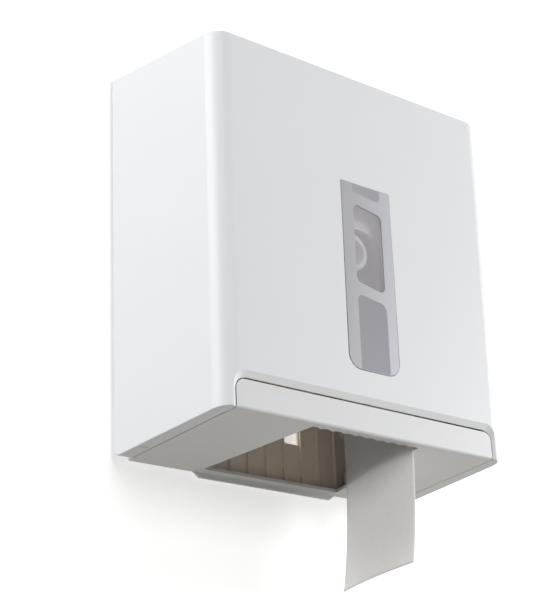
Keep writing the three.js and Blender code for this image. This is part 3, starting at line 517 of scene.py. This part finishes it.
def film_piece(name, outlines, front, back):
    """A flat piece between two depths. The first outline is its edge, the others are holes."""
    data = bpy.data.curves.new(name, "CURVE")
    data.dimensions = "2D"
    data.fill_mode = "BOTH"
    data.extrude = (back - front) / 2
    for outline in outlines:
        spline = data.splines.new("POLY")
        spline.points.add(len(outline) - 1)
        for point, (x, z) in zip(spline.points, outline):
            point.co = (x, z, 0, 1)
        spline.use_cyclic_u = True
    flat = bpy.data.objects.new(name, data)
    mesh = bpy.data.meshes.new_from_object(flat)
    middle = (front + back) / 2
    for vertex in mesh.vertices:
        x, z, y = vertex.co
        vertex.co = (x, middle - y, drawn_z(z))
    bpy.data.objects.remove(flat)
    bpy.data.curves.remove(data)
    return mesh


def pane_outline():
    return rounded(
        [
            (PANE_LEFT, PANE_LOW, PANE_LOW_RADIUS),
            (PANE_RIGHT, PANE_LOW, PANE_LOW_RADIUS),
            (PANE_RIGHT, PANE_TOP, PANE_TOP_RADIUS),
            (PANE_LEFT, PANE_TOP, PANE_TOP_RADIUS),
        ]
    )


def sight_outline():
    fall = SIGHT_SLANT_SHARE * (SIGHT_RIGHT - SIGHT_LEFT)
    low = SIGHT_TOP - SIGHT_HEIGHT
    return rounded(
        [
            (SIGHT_LEFT, low, SIGHT_RADIUS),
            (SIGHT_RIGHT, low - fall, SIGHT_RADIUS),
            (SIGHT_RIGHT, SIGHT_TOP - fall, SIGHT_RADIUS),
            (SIGHT_LEFT, SIGHT_TOP, SIGHT_RADIUS),
        ]
    )


def tab_outline():
    tab = {key: value * MM for key, value in TAB_OUTLINE.items()}
    top = PANE_TOP - PRINT_MARGIN
    return rounded(
        [
            (tab["left"], tab["low_left"], tab["corner"]),
            (tab["right"], tab["low_right"], tab["corner"]),
            (tab["right"], top, 0),
            (tab["left"], top, 0),
        ]
    )


def panel_outline():
    panel = {key: value * MM for key, value in PANEL_OUTLINE.items()}
    low = PANE_LOW + PRINT_MARGIN
    return rounded(
        [
            (panel["left"], low, 0),
            (panel["right"], low, 0),
            (panel["right"], panel["top_right"], panel["far_corner"]),
            (panel["left"], panel["top_left"], panel["near_corner"]),
        ]
    )


def make_label():
    """The film in its three printed parts, laid side by side."""
    (_, front, _), (_, back, _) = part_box("window_label")
    silver = printed_film_with_painted_light("film_silver", SILVER_WITH_PAINTED_LIGHT, SILVER_METAL)
    tab_ink = printed_film_with_painted_light("film_ink", TAB_INK, INK_METAL)
    panel_ink = printed_film_with_painted_light("film_ink_deep", PANEL_INK, INK_METAL)
    outlines = [pane_outline(), sight_outline(), tab_outline(), panel_outline()]
    film = film_piece("film", outlines, front, back)
    add_object("window_label.film", film, "cover", "label_film", silver, "window_label")
    tab = film_piece("tab", [tab_outline()], front, back)
    add_object("window_label.tab", tab, "cover", "label_film", tab_ink)
    panel = film_piece("panel", [panel_outline()], front, back)
    add_object("window_label.panel", panel, "cover", "label_film", panel_ink)


def turned_ring(name, profile, centre):
    """A ring turned about an axis along y. The profile is a closed row of (radius, y)."""
    x, z = centre
    form = bmesh.new()
    rings = []
    for step in range(ROLL_SEGMENTS):
        turn = 2 * math.pi * step / ROLL_SEGMENTS
        places = [(x + r * math.cos(turn), y, z + r * math.sin(turn)) for r, y in profile]
        rings.append([form.verts.new(place) for place in places])
    for here, there in zip(rings, rings[1:] + rings[:1]):
        for i in range(len(profile)):
            form.faces.new((here[i - 1], here[i], there[i], there[i - 1]))
    bmesh.ops.recalc_face_normals(form, faces=form.faces)
    mesh = bpy.data.meshes.new(name)
    form.to_mesh(mesh)
    form.free()
    shade(mesh, ROLL_ANGLE)
    return mesh


def quarter(centre, radius, start):
    """Points of a quarter round, anticlockwise from a start in degrees."""
    turns = [math.radians(start + 90 * step / RIM_STEPS) for step in range(RIM_STEPS + 1)]
    return [(centre[0] + radius * math.cos(turn), centre[1] + radius * math.sin(turn)) for turn in turns]


def wound_profile(inner, outer, front, back):
    """The roll's section: windings that stand a little unevenly at both end faces."""
    places = [Vector((i * WINDING_PITCH, *WINDING_PLACE)) for i in range(WINDINGS + 1)]
    uneven = [WINDING_STEP * (0.5 + 0.5 * noise.noise(place)) for place in places]
    radii = [lerp(inner, outer - ROLL_EDGE, i / WINDINGS) for i in range(WINDINGS + 1)]
    front_face = [(r, front + step) for r, step in zip(radii, uneven)]
    back_face = [(r, back - step) for r, step in zip(radii, reversed(uneven))]
    low_edge = quarter((outer - ROLL_EDGE, front + ROLL_EDGE + WINDING_STEP), ROLL_EDGE, -90)
    high_edge = quarter((outer - ROLL_EDGE, back - ROLL_EDGE - WINDING_STEP), ROLL_EDGE, 0)
    return front_face + low_edge + high_edge + back_face[::-1]


def core_profile(inner, outer, front, back):
    rim = CORE_RIM
    return (
        quarter((inner + rim, front + rim), rim, 180)
        + quarter((outer - rim, front + rim), rim, 270)
        + quarter((outer - rim, back - rim), rim, 0)
        + quarter((inner + rim, back - rim), rim, 90)
    )


def ring_sizes(node):
    """A ring node's centre, and its inner and outer radius with its two end depths."""
    (low_x, front, low_z), (high_x, back, high_z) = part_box(node)
    x, z = (low_x + high_x) / 2, (low_z + high_z) / 2
    distances = [math.hypot(v.co.x - x, v.co.z - z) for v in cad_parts[node].data.vertices]
    return (x, z), (min(distances), max(distances), front, back)


def make_roll():
    centre, sizes = ring_sizes("paper_roll")
    paper = turned_ring("roll", wound_profile(*sizes), centre)
    add_object("paper_roll.wound", paper, "roll", "paper", wound_paper(*centre), "paper_roll")
    centre, sizes = ring_sizes("roll_core")
    core = turned_ring("core", core_profile(*sizes), centre)
    add_object("roll_core.tube", core, "roll", "core_card", card_board(), "roll_core")


def outlet_half(y):
    share = (-y - OUTLET_BACK) / (OUTLET_FRONT - OUTLET_BACK)
    return lerp(OUTLET_WIDTH, OUTLET_FRONT_WIDTH, share) / 2


def strip_point(across, fall, start, top, front, back):
    """A point of the hanging paper, by its shares of the way to the front edge and down from the roll."""
    z = lerp(top, lerp(STRIP_REAR_END, STRIP_FRONT_END, across), fall)
    y = lerp(back, front, across)
    turn = min((top - z) / (top - STRIP_LEVEL), 1)
    hang = max((STRIP_LEVEL - z) / (STRIP_LEVEL - STRIP_REAR_END), 0)
    bow = STRIP_BOW * math.sin(math.pi * across) * (1 - STRIP_FLATTENING_SHARE * hang)
    place = Vector((y * WAVE_CELLS_ACROSS, z * WAVE_CELLS_DOWN, WAVE_PLACE))
    wave = WAVE_HEIGHT * noise.noise(place) * min(hang * WAVE_ONSET, 1)
    bend = turn * (outlet_half(y) - STRIP_GAP - start - bow)
    return start + bend - STRIP_CURL * hang * hang - abs(wave), y, drawn_z(z)


def make_strip():
    """The paper's free end: flat at the roll, bowed where it passes the outlet, and curled at its end."""
    (roll_x, roll_z), (_, roll_radius, front, back) = ring_sizes("paper_roll")
    start = roll_x + roll_radius + ROLL_GAP
    top = drawn_height(roll_z)
    form = bmesh.new()
    rows = []
    for row in range(STRIP_ROWS + 1):
        fall = row / STRIP_ROWS
        line = []
        for column in range(STRIP_COLUMNS + 1):
            place = strip_point(column / STRIP_COLUMNS, fall, start, top, front, back)
            line.append(form.verts.new(place))
        rows.append(line)
    for upper, lower in zip(rows, rows[1:]):
        for i in range(STRIP_COLUMNS):
            form.faces.new((upper[i], upper[i + 1], lower[i + 1], lower[i]))
    area = sum(face.calc_area() for face in form.faces)
    mesh = bpy.data.meshes.new("strip")
    form.to_mesh(mesh)
    form.free()
    shade(mesh, STRIP_ANGLE)
    strip = add_object("paper_strip.sheet", mesh, "base", "paper", paper_sheet(), "paper_strip")
    ply = strip.modifiers.new("ply", "SOLIDIFY")
    ply.thickness = STRIP_THICK
    ply.offset = -1


def stage_material(name, color, glow):
    """A pale surface that shows only from its front, and white to the camera where no shadow falls."""
    nodes = Nodes(name)
    nodes.tree.nodes.remove(nodes.shader)
    diffuse = nodes.add("ShaderNodeBsdfDiffuse")
    diffuse.inputs["Color"].default_value = (*color, 1)
    light = nodes.add("ShaderNodeEmission")
    rays = nodes.add("ShaderNodeLightPath")
    seen = nodes.math("MAXIMUM", rays.outputs["Is Camera Ray"], rays.outputs["Is Glossy Ray"])
    seen = nodes.math("MAXIMUM", seen, rays.outputs["Is Transmission Ray"])
    nodes.link(nodes.math("MULTIPLY", seen, glow), light.inputs["Strength"])
    both = nodes.add("ShaderNodeAddShader")
    nodes.link(diffuse.outputs["BSDF"], both.inputs[0])
    nodes.link(light.outputs["Emission"], both.inputs[1])
    clear = nodes.add("ShaderNodeBsdfTransparent")
    side = nodes.add("ShaderNodeNewGeometry")
    mixed = nodes.add("ShaderNodeMixShader")
    nodes.link(side.outputs["Backfacing"], mixed.inputs["Fac"])
    nodes.link(both.outputs["Shader"], mixed.inputs[1])
    nodes.link(clear.outputs["BSDF"], mixed.inputs[2])
    nodes.link(mixed.outputs["Shader"], nodes.output.inputs["Surface"])
    return nodes.material


def stage_plane(name, corners, material):
    mesh = bpy.data.meshes.new(name)
    mesh.from_pydata(corners, [], [(0, 1, 2, 3)])
    mesh.materials.append(material)
    made = bpy.data.objects.new(name, mesh)
    bpy.context.collection.objects.link(made)
    return made


def make_stage():
    """A wall that takes shadows but throws none and no light, and a floor below."""
    reach = STAGE_REACH
    upright = [(-reach, FLOOR_Z), (reach, FLOOR_Z), (reach, reach), (-reach, reach)]
    lying = [(-reach, -reach), (reach, -reach), (reach, reach), (-reach, reach)]
    wall_corners = [(x, WALL_Y, z) for x, z in upright]
    wall = stage_plane("wall", wall_corners, stage_material("wall_pale", WALL_COLOR, WALL_GLOW))
    wall.visible_shadow = False
    wall.visible_diffuse = False
    floor_corners = [(x, y, FLOOR_Z) for x, y in lying]
    stage_plane("floor", floor_corners, stage_material("floor_pale", FLOOR_COLOR, FLOOR_GLOW))


def make_sky():
    """Soft light from all round, dimmed on one side, and plain white to the camera."""
    world = bpy.data.worlds.new("studio")
    bpy.context.scene.world = world
    world.use_nodes = True
    tree = world.node_tree
    tree.nodes.clear()
    output = tree.nodes.new("ShaderNodeOutputWorld")
    rays = tree.nodes.new("ShaderNodeLightPath")
    soft = tree.nodes.new("ShaderNodeBackground")
    soft.inputs["Color"].default_value = SKY_COLOR
    ways = tree.nodes.new("ShaderNodeTexCoord")
    facing = tree.nodes.new("ShaderNodeVectorMath")
    facing.operation = "DOT_PRODUCT"
    facing.inputs[1].default_value = DIM_SIDE
    dimmed = tree.nodes.new("ShaderNodeMapRange")
    dimmed.interpolation_type = "SMOOTHSTEP"
    dimmed.inputs["From Min"].default_value = DIM_START
    dimmed.inputs["From Max"].default_value = DIM_END
    dimmed.inputs["To Min"].default_value = SKY_STRENGTH
    dimmed.inputs["To Max"].default_value = DIM_STRENGTH
    tree.links.new(ways.outputs["Generated"], facing.inputs[0])
    tree.links.new(facing.outputs["Value"], dimmed.inputs["Value"])
    tree.links.new(dimmed.outputs["Result"], soft.inputs["Strength"])
    white = tree.nodes.new("ShaderNodeBackground")
    white.inputs["Strength"].default_value = 1.0
    mixed = tree.nodes.new("ShaderNodeMixShader")
    tree.links.new(rays.outputs["Is Camera Ray"], mixed.inputs["Fac"])
    tree.links.new(soft.outputs["Background"], mixed.inputs[1])
    tree.links.new(white.outputs["Background"], mixed.inputs[2])
    tree.links.new(mixed.outputs["Shader"], output.inputs["Surface"])


def soft_lamp(name, azimuth, elevation, distance, power, width, height):
    """A rectangular lamp that faces the object."""
    data = bpy.data.lights.new(name, "AREA")
    data.shape = "RECTANGLE"
    data.size = width
    data.size_y = height
    data.energy = power
    made = bpy.data.objects.new(name, data)
    a, e = math.radians(azimuth), math.radians(elevation)
    back = Vector((math.sin(a) * math.cos(e), -math.cos(a) * math.cos(e), math.sin(e)))
    made.location = Vector(LAMP_AIM) + back * distance
    made.rotation_mode = "QUATERNION"
    made.rotation_quaternion = back.to_track_quat("Z", "Y")
    bpy.context.collection.objects.link(made)


bpy.context.scene.view_settings.view_transform = "Standard"
make_camera()
make_stage()
make_sky()
for name, settings in LAMPS.items():
    soft_lamp(name, *settings)

shell = moulded("plastic_shell", SHELL_FINISH)
tray = moulded("plastic_tray", TRAY_FINISH)
# The plate's material carries painted shade: its warm tone stands in for the shaded inside of the housing
plate = moulded("plastic_plate", PLATE_TONE_WITH_PAINTED_SHADE)
arbor = moulded("plastic_arbor", ARBOR_FINISH)
steel = plated_steel()

refined("front_cover", "cover", "shell_white", shell, SHELL_EDGE, LEAST_LINE)
refined("bottom_tray", "base", "moulded_white", tray, PART_EDGE, LEAST_LINE, TEAR_ZONE)
refined("back_plate", "base", "moulded_white", plate, PLATE_EDGE)
refined("spindle", "base", "moulded_white", arbor, PART_EDGE)
refined("lock_barrel", "cover", "moulded_white", tray, PART_EDGE)
refined("lock_nut", "cover", "moulded_white", tray, PART_EDGE)
make_label()
make_roll()
make_strip()
paint("window_pane", clear_pane())
paint("lock_rotor", dark_zinc())
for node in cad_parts:
    if "screw" in node or node.startswith("hinge_pin") or node == "lock_cam":
        paint(node, steel)
